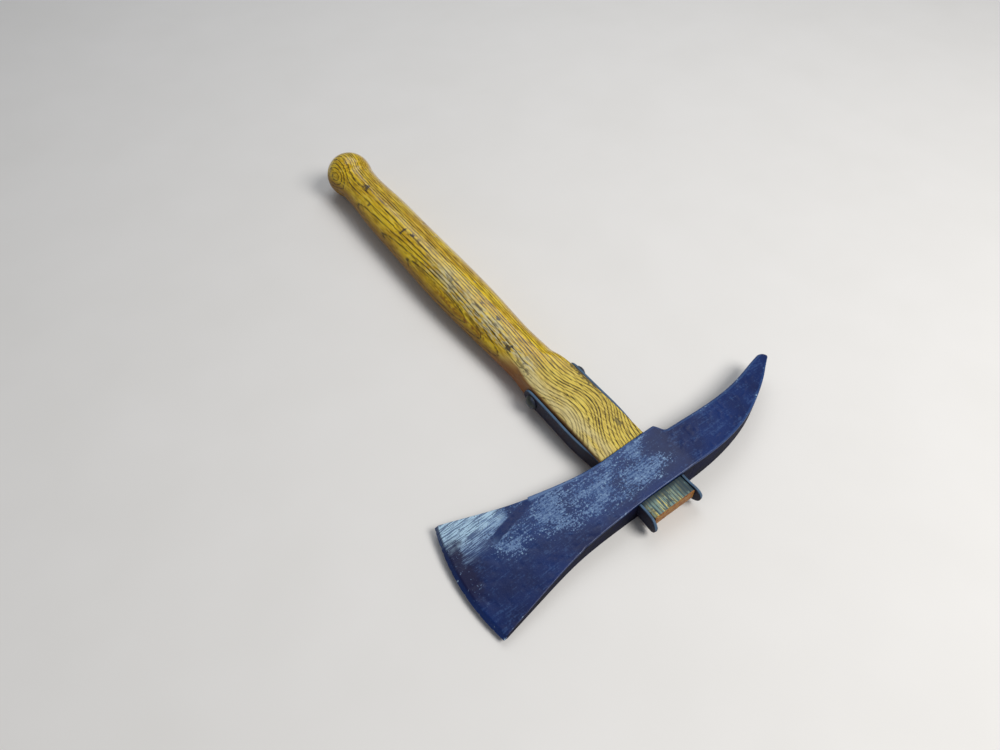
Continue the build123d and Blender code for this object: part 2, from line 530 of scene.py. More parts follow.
@dataclass(frozen=True)
class HeadPaint:
    """Navy enamel brushed over a forged head, rubbed light over the eye with a painted sheen, a painted
    reflection at the heel, painted highlights on its edges and painted shade on its sides.
    """

    navy: Colour = tone(0, 36, 96)
    night: Colour = tone(0, 20, 70)
    slate: Colour = tone(58, 88, 138)
    steel_blue: Colour = tone(118, 146, 184)
    pale: Colour = tone(176, 208, 228)
    # The rim colour paints a highlight along the broken edges, over worn paint.
    rim: Colour = tone(38, 72, 124)
    plum: Colour = tone(10, 12, 56)
    # The side colour paints shade on the head's sides and inside the eye.
    side: Colour = tone(3, 5, 24)
    bevel: Colour = tone(10, 38, 92)
    # Zones of the cheek, across being X in millimetres.
    eye_zone: Zone = (Limit(1, 0, -30.0, 0.0, 1.0), Limit(1, 0, 70.0, 34.0), Limit(0, 1, 16.0, 5.0, 1.0))
    blade_zone: Zone = (Limit(1, 0, 36.0, 60.0), Limit(1, 0, 112.0, 90.0, 1.0),
                                     Limit(0.2, 1, 26.0, 4.0, 1.0))
    heel_reflection_zone: Zone = (Limit(-0.1, 1, -22.0, -35.0, 0.8), Limit(1, 0, 79.0, 87.0, 0.6),
                                    Limit(1, -0.1, 130.0, 123.0, 0.6))
    heel_reflection_peak: Zone = (Limit(0, 1, -19.0, -33.0, 0.5),)
    dark_reflection_line: Zone = (Limit(-0.22, 1, -37.96, 4.4, 0.3, True),)
    dark_reflection_ends: Zone = (Limit(1, 0, 63.0, 66.0), Limit(1, 0, 104.0, 90.0))
    edge_zone: Zone = (Limit(1, -0.12, 113.0, 117.5, 1.0), Limit(0, 1, 14.0, -4.0),
                                    Limit(0, 1, -36.0, -24.0, 1.0))
    rim_highlight_zone: Zone = (Limit(1, 0, 78.0, 62.0), Limit(0, 1, 20.0, 12.0))
    strip_highlight_line: Zone = (Limit(0.19, 1, -12.8, 3.0, 0.0, True),)
    strip_highlight_ends: Zone = (Limit(1, 0, 24.0, 40.0), Limit(1, 0, 66.0, 64.0))
    ragged: float = 12.0
    relief: float = 0.3

    def material(self) -> bpy.types.Material:
        """Writes the head's paint.

        Returns:
            Its material; it reads the points' "rim", "flank" and "bevel" values.
        """
        r = Recipe("head_paint")
        broad, patchy = r.grain(24.0), r.grain(6.5, 3.0, 4.0)
        speck, pits = r.grain((1.5, 1.25, 1.3), 3.0, 9.0, 0.6), r.grain(0.8, 1.0, 2.0)
        brush, hair = r.grain((16.0, 1.0, 3.0), 2.0, 6.0), r.grain((9.0, 0.6, 3.0), 1.0, 16.0)
        cross, cloud = r.grain((1.1, 7.0, 3.0), 2.0, 21.0), r.grain(13.0, 3.0, 27.0, 0.6)
        rim, flank, bevel = r.value("rim"), r.value("flank"), r.value("bevel")
        wander = (patchy - 0.5) * self.ragged
        eye, blade, heel, bright, band, ends, edge, bare, strip, strip_highlight_ends = (
            r.zone(limits, r.x, wander) for limits in (
                self.eye_zone, self.blade_zone, self.heel_reflection_zone, self.heel_reflection_peak, self.dark_reflection_line,
                self.dark_reflection_ends, self.edge_zone, self.rim_highlight_zone, self.strip_highlight_line, self.strip_highlight_ends))
        # Rubbed paint with a painted sheen: over the eye, and down the blade next to its haft side.
        rubbed_and_sheen = eye.most(blade) * (0.55 + 0.75 * cloud.step(0.34, 0.66))
        light = (speck * 0.42 + pits * 0.3 + cross * 0.1 + brush * 0.18 + rubbed_and_sheen * 0.18).step(0.61, 0.67)
        light = light * rubbed_and_sheen.step(0.15, 0.6)
        lines = (brush * 0.15 + hair * 0.85).step(0.45, 0.55)
        shine = (bright + 0.15).least(1.0) * (lines + bright * 0.2).least(1.0)
        band, strip = band.step(0.2, 0.55) * ends, strip.step(0.2, 0.6) * strip_highlight_ends
        colour = r.coats(
            self.night,
            (broad.step(0.3, 0.7), self.navy),
            ((speck * 0.4 + brush * 0.3 + patchy * 0.3).step(0.50, 0.62) * 0.42, self.slate),
            # Light specks over the rubbed zone: rubbed paint with a painted sheen.
            (rubbed_and_sheen.least(1.0) * 0.25, self.slate),
            (light * 0.65, self.slate),
            (light * (speck * 0.3 + brush * 0.3 + cloud * 0.4).step(0.46, 0.58) * 0.65, self.steel_blue),
            (light * (speck * 0.4 + pits * 0.6).step(0.58, 0.68) * 0.5, self.pale),
            # Painted reflection at the heel, bright with brush lines, the painted dark reflection of a band
            # below it, and the dark cutting edge.
            (heel * (0.25 + 0.75 * lines), self.steel_blue),
            (heel * shine * 0.85, self.pale),
            (band * 0.92, r.mix(patchy, self.night, self.navy)),
            (edge * 0.95, self.plum),
            (edge * speck.step(0.62, 0.68) * 0.8, self.steel_blue),
            (pits.step(0.37, 0.28) * 0.8, self.night),
            # Worn paint on the broken edges and the haft-side strip with a painted highlight along them,
            # painted shade on the sides and inside the eye, and the ground bevel, which the brush left
            # thinner.
            (rim * bare * 0.8 * (0.4 + 0.6 * patchy), self.rim),
            (strip * (1.0 - flank) * 0.8, r.mix(hair, self.slate, self.steel_blue)),
            (flank * 0.97, r.mix(patchy.step(0.3, 0.7) * 0.5, self.side, self.plum)),
            (bevel * 0.85, self.bevel),
            ((speck * 0.6 + patchy * 0.4).step(0.62, 0.68) * (rim * 0.8 + bevel).least(1.0), self.pale),
        )
        roughness = 0.34 + 0.2 * light + 0.1 * heel + 0.12 * patchy + 0.3 * flank
        gloss = (1.0 - flank) * (0.55 - 0.3 * light)
        height = speck * 0.5 + pits * 0.2 + hair * (heel * 0.4 + 0.08) + brush * 0.2
        return r.finish(colour, roughness, height, self.relief, Specular_IOR_Level=0.12, Coat_Weight=gloss,
                        Coat_Roughness=0.3)


@dataclass(frozen=True)
class Mark:
    """A dark stain on the haft: its place along and around it, and its reach both ways."""

    along: float
    around: float
    length: float
    spread: float
    strength: float = 1.0


@dataclass(frozen=True)
class AshVarnish:
    """Yellow varnish over ash: dark pore lines where each growth layer meets the surface."""

    gold: Colour = tone(240, 206, 28)
    amber: Colour = tone(206, 164, 4)
    honey: Colour = tone(148, 110, 4)
    pore: Colour = tone(34, 22, 2)
    bark: Colour = tone(80, 56, 4)
    straw: Colour = tone(216, 198, 104)
    ash_grey: Colour = tone(198, 190, 158)
    dirt: Colour = tone(46, 42, 38)
    chestnut: Colour = tone(128, 70, 8)
    stain: Colour = tone(106, 136, 134)
    slate: Colour = tone(34, 60, 74)
    cut_end: Colour = tone(150, 106, 40)
    ring_width: float = 2.1
    marks: tuple[Mark, ...] = (
        Mark(-317.3, 0.17, 5.5, 0.34), Mark(-256.0, 0.30, 2.2, 0.30), Mark(-247.0, 0.14, 5.0, 0.20),
        Mark(-239.0, 0.08, 6.0, 0.14, 0.7), Mark(-228.0, 0.02, 9.0, 0.10, 0.6),
        Mark(-191.6, 0.27, 8.0, 0.26, 0.6), Mark(-160.0, 0.0, 3.0, 0.12, 0.7),
        Mark(-142.9, -0.03, 4.0, 0.15), Mark(-119.2, 0.52, 5.0, 0.26), Mark(-300.0, 0.66, 3.0, 0.16, 0.8),
        Mark(-338.0, -0.45, 1.4, 0.22, 0.7), Mark(-100.0, 0.62, 16.0, 0.2, 0.6),
        Mark(-70.0, -0.76, 30.0, 0.12, 0.85), Mark(-33.0, -0.5, 7.0, 0.16, 0.7),
    )
    # Zones of the haft, across being the angle from the top towards the blade.
    shoulder_zone: Zone = (Limit(18.0, 1, -112.0, -82.0),)
    streak_zone: Zone = (Limit(1, 0, 0.42, 0.42, 0.9, True), Limit(0, 1, -236.0, -176.0),
                                      Limit(0, 1, -84.0, -104.0))
    scar_zone: Zone = (Limit(1, 0, 0.86, 0.16, 0.5, True), Limit(0, 1, -250.0, -225.0),
                                    Limit(0, 1, -120.0, -140.0))
    smear_zone: Zone = (Limit(1, 0, 1.08, 0.2, 0.0, True), Limit(0, 1, -212.0, -186.0),
                                     Limit(0, 1, -128.0, -142.0))
    flank_from: Span = (0.76, 0.90)
    low_shade_from: Span = (1.0, 1.42)
    tongue_from: Span = (-4.0, 0.0)
    tongue_shade: Span = (21.0, 17.0)
    cut_from: Span = (27.2, 27.7)
    cut_low: float = -2.2
    dull_from: Span = (0.8, 1.3)
    relief: float = 0.1

    def material(self) -> bpy.types.Material:
        """Writes the haft's wood.

        Returns:
            Its material; it reads the points' "layer", the depth into the growth layers in
            millimetres, "pitch", how fast that grows along the surface, and "front" and
            "top", the direction round the haft, from which the angle from the top towards
            the blade is worked out.
        """
        r = Recipe("ash_varnish")
        layer, pitch = r.value("layer"), r.value("pitch")
        around = r.value("front").angle(r.value("top"))
        fibre, fleck = r.grain((0.7, 18.0, 0.7), 2.0), r.grain((0.75, 9.0, 0.75), 2.0, 5.0)
        patchy, mottle = r.grain((9.0, 30.0, 9.0), 2.0, 3.0), r.grain((1.8, 3.4, 1.8), 3.0, 8.0)
        # Growth lines keep one width on the surface, however steeply the layers meet it.
        count = layer / self.ring_width + (fibre - 0.5) * 0.45
        ring = count.cycle()
        dark = r.node("ShaderNodeTexWhiteNoise", {"noise_dimensions": "1D"}, {"W": count - ring}, "Value")
        line = (ring.least(1.0 - ring) / pitch - 0.07 * dark).step(0.22, 0.06)
        pore = line * (fleck.step(0.34, 0.5) * 0.5 + 0.5) * (0.7 + 0.3 * dark)
        dash = fleck.step(0.50, 0.58) * (ring.step(0.75, 0.25) * 0.7 + 0.3)
        fine = (layer / (self.ring_width * 0.37) + fibre * 1.2).cycle().near(0.5, 0.3) * fleck.step(0.4, 0.56)
        shoulder, streak, scar, smear = (r.zone(limits, around, patchy - 0.5) for limits in (
            self.shoulder_zone, self.streak_zone, self.scar_zone, self.smear_zone))
        # The shoulder and the worn front of the top face have lost their yellow.
        worn = (streak * 1.6).least(1.0) * (mottle * 0.35 + fibre * 0.4 + patchy * 0.25).step(0.42, 0.54)
        front_pale = shoulder * around.step(0.1, 0.6) * patchy.step(0.25, 0.55)
        flank = around.size().step(*self.flank_from)
        colour = r.coats(
            self.amber,
            (patchy.step(0.35, 0.65), self.gold),
            (fleck.step(0.45, 0.36) * 0.5, self.straw),
            (ring.step(0.8, 0.2) * 0.4, self.amber),
            ((shoulder * 0.62).most(worn * 0.9), self.straw),
            ((worn * 0.8).most(front_pale * 0.55), self.ash_grey),
            # Painted shade, partly darker varnish, on the haft's side towards the blade.
            (around.step(*self.low_shade_from) * 0.6, self.honey),
            (around.step(1.0, 1.5) * (0.35 + 0.4 * patchy), self.chestnut),
            (fine * (0.55 - front_pale * 0.3), self.honey),
            (dash * (0.5 - front_pale * 0.25), self.bark),
            (pore * (0.97 - front_pale * 0.4), self.pore),
            (scar * (mottle * 0.5 + fibre * 0.5).step(0.44, 0.56) * 0.75, self.bark),
            (shoulder * flank * 0.85, self.chestnut),
            (smear * (mottle * 0.6 + fibre * 0.4).step(0.44, 0.56) * 0.75, self.chestnut),
        )
        # Dirt gathers in the worn patch and in the separate marks.
        stains = (mottle * 0.5 + fleck * 0.5).step(0.53, 0.62) * (0.16 + 0.5 * streak) * (1.0 - flank)
        for mark in self.marks:
            spot = r.y.near(mark.along, mark.length) * around.near(mark.around, mark.spread)
            blot = (spot + (mottle - 0.5) * 3.2).step(0.42, 0.72) * spot.step(0.0, 0.25)
            stains = stains.most(blot * mark.strength)
        # The tongue was painted over with the head: thin, pale and blue-green.
        tongue = r.y.step(*self.tongue_from)
        cut = (r.y + (self.cut_low - r.z).most(0.0)).step(*self.cut_from)
        shade = r.x.step(-2.0, -12.0) * mottle.step(0.25, 0.5)
        wash = r.coats(
            self.stain,
            ((fibre * 0.7 + mottle * 0.3).step(0.50, 0.60), self.straw),
            ((line * 0.8).most(fine * 0.5), self.slate),
            (shade.most(r.y.step(*self.tongue_shade)).most(mottle.step(0.52, 0.6) * 0.8), self.slate),
        )
        colour = r.coats(
            colour,
            (stains * 0.9, self.dirt),
            (tongue * 0.95, r.mix(r.z.step(4.0, 2.0), wash, self.chestnut)),
            (cut, r.mix(mottle.step(0.36, 0.6), self.chestnut, self.cut_end)),
        )
        dull = shoulder.most(worn).most(tongue).most(around.step(*self.dull_from))
        height = 1.0 - (pore * 0.5 + dash * 0.2 + stains * 0.2) * (0.35 + 0.65 * dull)
        return r.finish(colour, 0.26 + 0.3 * dull, height, self.relief, Coat_Weight=0.6 - 0.55 * dull,
                        Coat_Roughness=0.07, Specular_IOR_Level=0.3)


@dataclass(frozen=True)
class StrapPaint:
    """The head's paint run thin over the straps, rubbed, with a painted light-blue highlight along their
    edges.
    """

    navy: Colour = tone(22, 26, 50)
    plum: Colour = tone(30, 16, 38)
    rubbed_and_sheen: Colour = tone(96, 130, 160)

    def material(self) -> bpy.types.Material:
        """Writes the straps' paint.

        Returns:
            Its material; it reads the points' "rim" value.
        """
        r = Recipe("strap_paint")
        patchy, speck = r.grain(5.0, 3.0), r.grain(0.9, 3.0, 7.0)
        colour = r.coats(self.plum, (patchy.step(0.35, 0.65), self.navy),
                         # Painted highlight along the edges, over rubbed paint; the specks are rubbed paint.
                         (r.value("rim") * (0.3 + 0.4 * patchy), self.rubbed_and_sheen),
                         (speck.step(0.66, 0.74) * 0.6, self.rubbed_and_sheen))
        return r.finish(colour, 0.4 + 0.25 * speck, speck, 0.1, Specular_IOR_Level=0.2)


@dataclass(frozen=True)
class RivetSteel:
    """Dark oiled steel with a trace of paint."""

    dark: Colour = tone(44, 50, 46)
    paint: Colour = tone(58, 64, 84)
    bright: Colour = tone(140, 142, 128)

    def material(self) -> bpy.types.Material:
        """Writes the rivet's steel.

        Returns:
            Its material.
        """
        r = Recipe("rivet_steel")
        patchy, speck = r.grain(3.0, 2.0), r.grain(0.6, 2.0, 3.0)
        colour = r.coats(self.dark, (patchy.step(0.4, 0.65), self.paint),
                         (speck.step(0.62, 0.75) * 0.5, self.bright))
        return r.finish(colour, 0.26 + 0.3 * speck, speck, 0.06, Metallic=0.35)


# ---- head ----------------------------------------------------------------------------

@dataclass
class AxeHead:
    """Forged head: broad blade, rectangular eye and a drooping pick."""

    crown: Knots = ((-124.6, -15.6), (-112.0, -6.6), (-96.0, 2.4), (-80.0, 9.4), (-67.0, 13.1), (-48.0, 16.0),
                    (-30.0, 16.75), (0.0, 16.3), (34.0, 16.7), (62.0, 18.6), (92.0, 24.0), (122.6, 30.3))
    pick_under: Knots = ((-121.8, -20.6), (-111.0, -18.2), (-99.0, -15.1), (-87.0, -12.7), (-75.0, -11.3),
                         (-60.0, -10.6), (-44.0, -10.6), (-20.0, -10.8))
    eye_under: Knots = ((-34.0, -17.2), (-24.6, -17.3), (0.0, -17.6), (24.0, -18.0), (45.0, -21.3),
                        (65.0, -26.3))
    blade_under: Knots = ((60.0, -23.8), (65.2, -25.4), (78.0, -29.4), (92.7, -34.9), (107.3, -40.7),
                          (117.0, -44.4))
    lip: Span = (-29.5, -23.0)
    heel_step: Span = (64.4, 65.3)
    blade: Span = (60.0, 122.0)
    thickness: Knots = ((-126.5, 2.4), (-25.0, 11.0), (44.0, 7.6), (128.0, 1.5))
    round_tip: float = 1.6
    bevel_start: float = 119.6
    edge_half: float = 0.12
    edge_bulge: float = 5.2
    tip_bulge: float = 2.9
    eye_half_x: float = 17.6
    eye_half_z: float = 6.7
    eye_break: float = 0.3
    tunnel_rings: tuple[float, ...] = (0.015, 0.2, 0.4, 0.6, 0.8, 0.985)
    # How far the broken edges reach in from each side, at stations along X.
    break_at: tuple[float, ...] = (-125.0, -100.0, -34.0, -20.0, 20.0, 30.0, 60.0, 66.0, 122.0)
    break_crown: tuple[float, ...] = (1.4, 1.9, 1.6, 0.9, 0.9, 0.9, 0.9, 0.8, 0.5)
    break_haft: tuple[float, ...] = (1.4, 2.0, 1.8, 1.2, 1.2, 1.8, 2.2, 0.8, 0.5)
    break_depth: tuple[float, ...] = (0.7, 0.8, 0.8, 0.6, 0.6, 0.6, 0.6, 0.5, 0.3)
    face_rows: int = 72
    corner_rows: int = 4
    slot_rows: int = 14
    side_rows: int = 20
    grit: Grit = field(default_factory=lambda: Grit(11))

    def columns(self) -> np.ndarray:
        """Stations along X, closest at the tip, the lip, the heel's step and the bevel."""
        slot = self.eye_half_x
        return runs((-125.0, -123.2, 0.2), (-123.2, -31.0, 0.75), (-31.0, -21.8, 0.4),
                    (-21.8, -slot, 0.7), (-slot, slot, 0.75), (slot, 63.8, 0.75), (63.8, 66.0, 0.22),
                    (66.0, self.bevel_start, 0.75), (self.bevel_start, self.blade[1], 0.24))

    def into_blade(self, u: np.ndarray) -> np.ndarray:
        """How far into the blade stations are, from 0 to 1, squared."""
        start, end = self.blade
        return np.clip((u - start) / (end - start), 0, 1) ** 2

    def sides(self, u: np.ndarray) -> tuple[np.ndarray, np.ndarray, np.ndarray, np.ndarray]:
        """The outline's two long sides.

        Args:
            u: Stations.

        Returns:
            X and Y of the haft side, then X and Y of the crown side.  Past the eye the
            stations fan out, so that the first and last reach both corners of each end.
        """
        pick, blade = smooth(u, -60.0, -125.0) ** 2, self.into_blade(u)
        haft_x, crown_x = u + 3.2 * pick - 5.0 * blade, u + 0.4 * pick + 0.6 * blade
        lip = smooth(u, *self.lip) ** 1.6
        haft_y = curve_through(self.pick_under, haft_x) * (1 - lip)
        haft_y = haft_y + curve_through(self.eye_under, haft_x) * lip
        heel = smooth(haft_x, *self.heel_step)
        haft_y = haft_y * (1 - heel) + curve_through(self.blade_under, haft_x) * heel
        return haft_x, haft_y, crown_x, curve_through(self.crown, crown_x)

    def shell(self) -> tuple[np.ndarray, np.ndarray, np.ndarray, np.ndarray]:
        """The outside, as rings round the head, one for each station.

        Each ring goes up the haft side, over the top face, down the crown side and back
        under.  A row lies at a share of the way from the haft side to the crown side, and
        the ends' arcs bulge the shares' stations outwards.

        Returns:
            Points, then the rim, flank and bevel values, all stations by rows.
        """
        u = self.columns()
        haft_x, haft_y, crown_x, crown_y = (side[:, None] for side in self.sides(u))
        width = crown_y - haft_y
        breaks = [np.minimum(np.interp(u, self.break_at, reach)[:, None], 0.36 * width)
                  for reach in (self.break_haft, self.break_crown)]
        # Half a ring is a side, a broken edge, a face and the other broken edge; the second
        # half is the first turned over, without the rows that the two have in common.
        turn = np.linspace(0, np.pi / 2, self.corner_rows + 1)[1:]
        sin, cos = np.sin(turn), np.cos(turn)
        across = np.linspace(0, 1, self.face_rows + 1)[1:]
        thin = (self.side_rows - self.slot_rows) // 2
        rise = runs((-1, -0.5, 0.5 / thin), (-0.5, 0.5, 1 / self.slot_rows), (0.5, 1, 0.5 / thin))
        ways = [np.concatenate([width * 0 * rise, near * (1 - cos), near + (width - near - far) * across,
                                width - far * (1 - sin)], axis=1) for near, far in (breaks, breaks[::-1])]
        share = np.concatenate([ways[0], width - ways[1][:, 1:-1]], axis=1) / width
        rows = np.zeros((4, ways[0].shape[1]))
        side, far = len(rise), len(cos)
        rows[0, :side], rows[1, :side] = rise, 1
        rows[2, side:side + far], rows[2, -far:] = 1, 1
        rows[3, side:side + far], rows[3, -far:] = 1 - sin, 1 - cos
        rise, flank, rim, drop = np.concatenate([rows, rows[:, 1:-1]], axis=1)
        over = np.repeat([1, -1], [rows.shape[1], rows.shape[1] - 2])
        bulge = self.into_blade(u)[:, None] * self.edge_bulge * 4 * share * (1 - share)
        tip = smooth(u, -112.0, -125.0)[:, None] ** 2 * self.tip_bulge
        bulge = bulge - tip * np.sqrt(np.clip(4 * share * (1 - share), 0, 1))
        x = haft_x * (1 - share) + crown_x * share + bulge
        y = haft_y + width * share
        places, halves = np.array(self.thickness).T
        half = sum(np.interp(x + nudge, places, halves) for nudge in (-1.5, 0.0, 1.5)) / 3 - 0.03
        bevel = (u[:, None] - self.bevel_start) / (u[-1] - self.bevel_start)
        half = np.where(bevel > 0, half * (1 - bevel) + self.edge_half * bevel, half)
        blunt = np.clip((u - u[0]) / self.round_tip, 0.0, 1.0)[:, None]
        half = half * (0.3 + 0.7 * np.sqrt(1 - (1 - blunt) ** 2))
        depth = np.minimum(np.interp(u, self.break_at, self.break_depth)[:, None], 0.5 * half)
        # The sides' rows keep the eye's height beside it, and spread evenly away from it.
        relax = smooth(np.abs(u), self.eye_half_x, self.eye_half_x + 14.0)[:, None]
        flat = (half - depth)[:, :1]
        slot = self.eye_half_z * (1 - relax) + 0.62 * flat * relax
        slot = np.minimum(slot, np.where(relax > 0, 0.8 * flat, slot))
        size = np.abs(rise) * 2
        level = np.sign(rise) * np.where(size <= 1, slot * size, slot + (flat - slot) * (size - 1))
        z = over * np.where(flank > 0, level, half - depth * drop)
        return self.weather(np.stack([x, y, z], axis=-1), rim, flank, np.clip(bevel * 3, 0, 1))

    def weather(self, points: np.ndarray, rim: np.ndarray, flank: np.ndarray, bevel: np.ndarray
                ) -> tuple[np.ndarray, np.ndarray, np.ndarray, np.ndarray]:
        """Sinks hollows, pits and the band below the heel into the faces, and nicks the edges.

        Args:
            points: The smooth shell.
            rim: 1 on the broken edges.
            flank: 1 on the sides.
            bevel: 1 on the ground bevel.

        Returns:
            The weathered points and the three values.
        """
        x, y, z = np.moveaxis(points, -1, 0)
        face = (1 - flank) * (1 - rim)
        dip = 0.16 * self.grit.at(points, 19.0) + 0.07 * self.grit.at(points, 5.5)
        dip = dip + 0.10 * smooth(self.grit.at(points, 2.4), 0.62, 0.85)
        band = hump((y - (x - 68.0) * 0.25)[..., None], -24.0, 3.2)
        dip = dip + 0.10 * band * smooth(x, 60, 66) * smooth(x, 104, 92)
        fade = smooth(122.5 - bevel * 60, 60, 122)
        sunk = np.where(face > 0, dip, dip * 0.6 * rim) * (0.3 + 0.7 * fade)
        points[..., 2] -= np.sign(z) * np.minimum(sunk, 0.3 * np.abs(z))
        nick = smooth(self.grit.at(points, 1.9, (1.6, 1.0, 3.0)), 0.74, 0.9)
        middle = (y.max(axis=1, keepdims=True) + y.min(axis=1, keepdims=True)) / 2
        points[..., 1] -= np.sign(y - middle) * nick * 0.45 * rim
        points[..., 0] -= nick * 0.3 * smooth(bevel, 0.85, 1.0) * (x > 100)
        return points, rim, flank, bevel

    def build(self) -> bpy.types.Object:
        """Weaves the shell, opens the eye from side to side and closes both ends.

        Returns:
            The finished piece.
        """
        skin = Skin()
        points, rim, flank, bevel = self.shell()
        u = self.columns()
        first, last = (int(np.argmin(np.abs(u - end))) for end in (-self.eye_half_x, self.eye_half_x))
        thin = (self.side_rows - self.slot_rows) // 2
        low, high = thin, thin + self.slot_rows
        crown_start = self.side_rows + 2 * self.corner_rows + self.face_rows
        cols = np.concatenate([np.arange(first, last), np.full(high - low, last),
                               np.arange(last, first, -1), np.full(high - low, first)])
        rows = np.concatenate([np.full(last - first, high), np.arange(high, low, -1),
                               np.full(last - first, low), np.arange(low, high)])
        twin = crown_start + self.side_rows - rows
        mouth, exit_ = points[cols, rows].copy(), points[cols, twin].copy()
        at_end = np.abs(np.abs(mouth[:, 0]) - self.eye_half_x) < 0.2
        at_cheek = np.abs(mouth[:, 2]) > self.eye_half_z - 0.5
        outward = np.sign(mouth) * np.stack([at_end, 0 * at_end, at_cheek], axis=-1) * self.eye_break
        points[cols, rows] += outward
        points[cols, twin] += outward
        index = skin.add(points, rim=rim, flank=flank, bevel=bevel)
        ring = np.arange(points.shape[1])
        open_ = np.zeros((len(u) - 1, len(ring)), bool)
        open_[first:last, low:high] = True
        open_[first:last, crown_start + low:crown_start + high] = True
        skin.weave(index, closed=True, keep=~open_)
        share = np.array(self.tunnel_rings)[:, None]
        tunnel = np.repeat(mouth[None], len(share), axis=0)
        tunnel[..., 1] = mouth[:, 1] * (1 - share) + exit_[:, 1] * share
        inside = skin.add(tunnel, rim=0.0, flank=1.0, bevel=0.0)
        skin.weave(np.concatenate([index[cols, rows][None], inside, index[cols, twin][None]]), closed=True)
        skin.zip_ring(index[0], self.side_rows // 2, False)
        skin.zip_ring(index[-1], self.side_rows // 2, True)
        return skin.piece("axe_head_forged", HeadPaint().material(), 40.0)


# ---- haft ----------------------------------------------------------------------------

@dataclass
class Haft:
    """Ash haft: ball end, oval grip, flat-sided shoulder and a tongue through the eye."""

    knob_y: float = -354.6
    knob_radius: float = 18.3
    half_width: Knots = ((-360.0, 16.2), (-346.0, 16.3), (-331.0, 15.7), (-305.0, 17.0), (-262.0, 18.0),
                         (-205.0, 19.0), (-162.0, 18.2), (-124.0, 16.6), (-104.0, 16.8), (-84.0, 17.2),
                         (-60.0, 17.2), (-18.0, 17.2))
    half_thick: Knots = ((-360.0, 14.2), (-346.0, 14.0), (-331.0, 13.3), (-305.0, 13.2), (-262.0, 13.5),
                         (-205.0, 13.6), (-162.0, 12.8), (-124.0, 11.7), (-104.0, 10.7), (-84.0, 9.3),
                         (-70.0, 9.2), (-18.0, 9.2))
    middle: Knots = ((-373.0, 0.0), (-346.0, 0.0), (-331.0, 0.2), (-305.0, 0.6), (-262.0, 1.2), (-205.0, 1.8),
                     (-162.0, 1.6), (-124.0, 1.4), (-104.0, 0.6), (-88.0, 0.1), (-84.0, 0.0), (-18.0, 0.0))
    shoulder_end: float = -18.4
    # How far the shoulder's end steps out along Y and in along X and Z.
    shoulder_steps: tuple[Triple, ...] = ((0.25, 0.25, 0.25), (0.5, 0.6, 0.6), (0.5, 1.2, 1.56),
                                          (0.5, 1.8, 2.79))
    tongue_half: Span = (15.3, 6.2)
    tongue_square: float = 14.0
    tongue_end: float = 28.0
    tongue_break: float = 4.0
    closing: tuple[float, ...] = (0.95, 0.85, 0.7, 0.5, 0.3, 0.12)
    box: Span = (17.2, 10.5)
    burl_at: Triple = (13.4, -346.0, 9.2)
    burl_reach: Triple = (8.0, 8.0, 8.0)
    flame_at: Triple = (15.0, -186.0, 7.0)
    flame_reach: Triple = (8.0, 48.0, 7.5)
    rows: int = 216
    grit: Grit = field(default_factory=lambda: Grit(23))

    def layer(self, points: np.ndarray) -> np.ndarray:
        """Depth into the growth layers, in millimetres.

        The layers face the blade and the top, drift sideways where the shoulder widens,
        wander a little along the haft, swirl round a small burl on the knob, and
        rise in one long flame low on the grip's blade side.

        Args:
            points: Points of the axe's frame.

        Returns:
            The depth at each point.
        """
        x, y, z = np.moveaxis(points, -1, 0)
        drift = -8.0 * hump(y[..., None], -57.0, 18.0) + 9.0 * smooth(y, -50.0, -15.0)
        wander = 1.6 * (self.grit.at(points, 70.0, (1.0, 1.4, 1.0)) - 0.5)
        wander = wander + 0.7 * (self.grit.at(points, 16.0, (1.0, 3.0, 1.0)) - 0.5)
        burl = hump(points, self.burl_at, self.burl_reach)
        flame = hump(points, self.flame_at, self.flame_reach)
        depth = 0.86 * (x - drift) + 0.5 * z + wander + 3.0 * burl + 2.2 * flame
        return depth + 2.2 * self.grit.at(np.stack([depth, 0 * x, 0 * x], axis=-1), 3.3)

    def section(self, y: np.ndarray) -> tuple[np.ndarray, np.ndarray, np.ndarray, np.ndarray]:
        """Half width, half thickness, middle and squareness of the haft below the eye.

        The ball is a circle's radius, joined to the grip by a smooth larger-of-two.

        Args:
            y: Stations.

        Returns:
            The four values at each station.
        """
        ball = np.sqrt(np.clip(self.knob_radius**2 - (y - self.knob_y) ** 2, 0, None))
        start = smooth(y, -366.0, -356.0)
        blur = 1.4 * smooth(y, -353.0, -346.5)
        wide, thick = curve_through(self.half_width, y) * start, curve_through(self.half_thick, y) * start
        wide, thick = ((grip + ball + np.sqrt((grip - ball) ** 2 + blur**2)) / 2 for grip in (wide, thick))
        square = 2.0 + 5.0 * smooth(y, -106.0, -82.0) + 9.0 * smooth(y, -70.0, -22.0)
        return wide, thick, curve_through(self.middle, y), square

    def profile(self) -> np.ndarray:
        """Stations from the ball to the middle of the tongue's end.

        Returns:
            Y, half width, half thickness, middle and squareness, one row for each station.
        """
        polar = self.knob_y - self.knob_radius * np.cos(np.linspace(0.06, 1.0, 15))
        rest = runs((polar[-1], -344.0, 1.0), (-344.0, -106.0, 1.0), (-106.0, self.shoulder_end, 1.0))
        y = np.concatenate([polar, rest[1:]])
        grip = np.stack([y, *self.section(y)], axis=-1)
        wide, thick, square = grip[-1, [1, 2, 4]]
        shoulder = [(self.shoulder_end + out, wide - in_x, thick - in_z, 0.0, square)
                    for out, in_x, in_z in self.shoulder_steps]
        half_x, half_z = self.tongue_half
        stations = runs((self.shoulder_end + 0.5, self.tongue_end - 0.5, 1.1))
